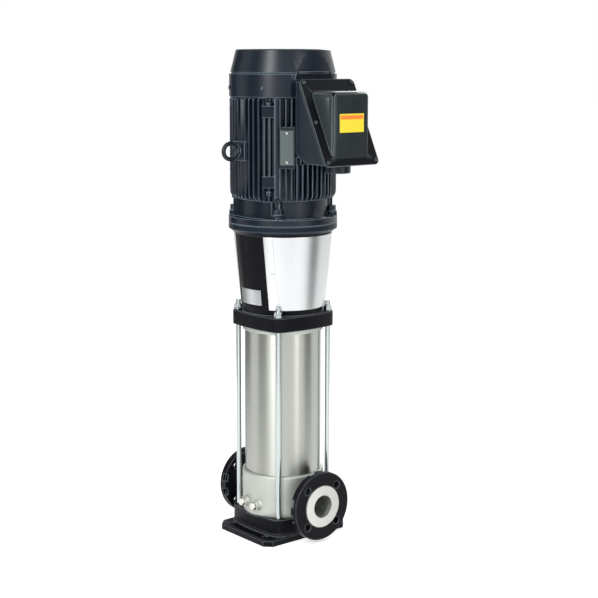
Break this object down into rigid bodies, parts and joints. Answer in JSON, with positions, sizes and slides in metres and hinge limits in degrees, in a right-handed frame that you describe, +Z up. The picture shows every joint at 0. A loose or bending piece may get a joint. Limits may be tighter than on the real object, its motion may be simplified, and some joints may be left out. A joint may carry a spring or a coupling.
{
  "type": "vertical multistage pump",
  "caption": "Vertical in-line multistage pump: cast base, ported casing with loose flanges, steel sleeve with tie rods, lantern stool and finned motor under a rain canopy.",
  "frame": {"origin": "shaft axis on the underside of the base plate", "axes": "+Z up along the shaft, +X towards the discharge port, +Y to the right-hand side seen from the suction port"},
  "size_m": [0.3979, 0.357, 1.1564],
  "materials": {
    "cast_black": "textured gloss black paint on cast iron",
    "satin_steel": "satin pressed stainless steel",
    "brushed_sleeve": "finely brushed stainless sleeve",
    "guard_steel": "bright satin stainless sheet",
    "bright_steel": "machined bright steel",
    "zinc_steel": "bright zinc plated steel",
    "seal_rubber": "black elastomer",
    "carbon": "polished seal faces",
    "plate_steel": "blank satin aluminium plate",
    "grey_iron": "machined grey iron",
    "motor_paint": "very dark blue-black semi-gloss paint",
    "lamination": "pressed electrical sheet pack",
    "winding": "varnished copper end windings",
    "fan_plastic": "black moulded plastic",
    "nameplate": "blank pale grey-green aluminium plate",
    "cover_paint": "dark grey-green semi-gloss pressed steel",
    "board_plastic": "moulded terminal board",
    "label": "blank yellow label with an orange band"
  },
  "bodies": {
    "pump": {"base_plate": "cast_black", "motor_stool": "cast_black", "inlet_outlet_casing": "satin_steel", "pump_head": "satin_steel", "stage_chambers": "satin_steel", "stage_clamp_ring": "satin_steel", "bottom_bearing": "satin_steel", "outer_sleeve": "brushed_sleeve", "drain_plugs": "bright_steel", "drain_plug_washers": "bright_steel", "tie_rods": "zinc_steel", "tie_rod_washers": "zinc_steel", "tie_rod_nuts": "zinc_steel", "sleeve_seal_rings": "seal_rubber", "seal_seat": "carbon", "coupling_guard_front": "guard_steel", "coupling_guard_rear": "guard_steel", "guard_screws": "bright_steel", "stool_plate": "plate_steel", "drive_end_shield": "motor_paint", "motor_flange_bolts": "motor_paint", "bearing_outer_rings": "bright_steel", "stator_frame": "motor_paint", "shield_screws": "motor_paint", "stator_core": "lamination", "stator_windings": "winding", "fan_end_shield": "motor_paint", "fan_cowl": "motor_paint", "cowl_screws": "motor_paint", "rain_canopy": "motor_paint", "canopy_posts": "motor_paint", "eye_bolts": "motor_paint", "motor_nameplate": "nameplate", "nameplate_rivets": "bright_steel", "terminal_box_base": "motor_paint", "terminal_box_gasket": "seal_rubber", "terminal_box_cover": "cover_paint", "terminal_box_screws": "cover_paint", "terminal_board": "board_plastic", "conduit_boss": "motor_paint", "cover_label": "label"},
    "rotor": {"motor_shaft": "bright_steel", "rotor_core": "lamination", "cooling_fan": "fan_plastic", "coupling_halves": "grey_iron", "coupling_screws": "bright_steel", "pump_shaft": "bright_steel", "impellers": "satin_steel", "seal_ring": "carbon", "bearing_inner_rings": "bright_steel"},
    "suction_flange_ring": {"suction_flange": "cast_black"},
    "discharge_flange_ring": {"discharge_flange": "cast_black"}
  },
  "joints": [
    {"name": "shaft_spin", "type": "hinge", "parent": "pump", "child": "rotor", "pos_m": [0, 0, 0.5], "axis": [0, 0, 1], "continuous": true},
    {"name": "suction_flange_turn", "type": "hinge", "parent": "pump", "child": "suction_flange_ring", "pos_m": [-0.1375, 0, 0.09], "axis": [1, 0, 0], "continuous": true},
    {"name": "discharge_flange_turn", "type": "hinge", "parent": "pump", "child": "discharge_flange_ring", "pos_m": [0.1375, 0, 0.09], "axis": [1, 0, 0], "continuous": true}
  ]
}
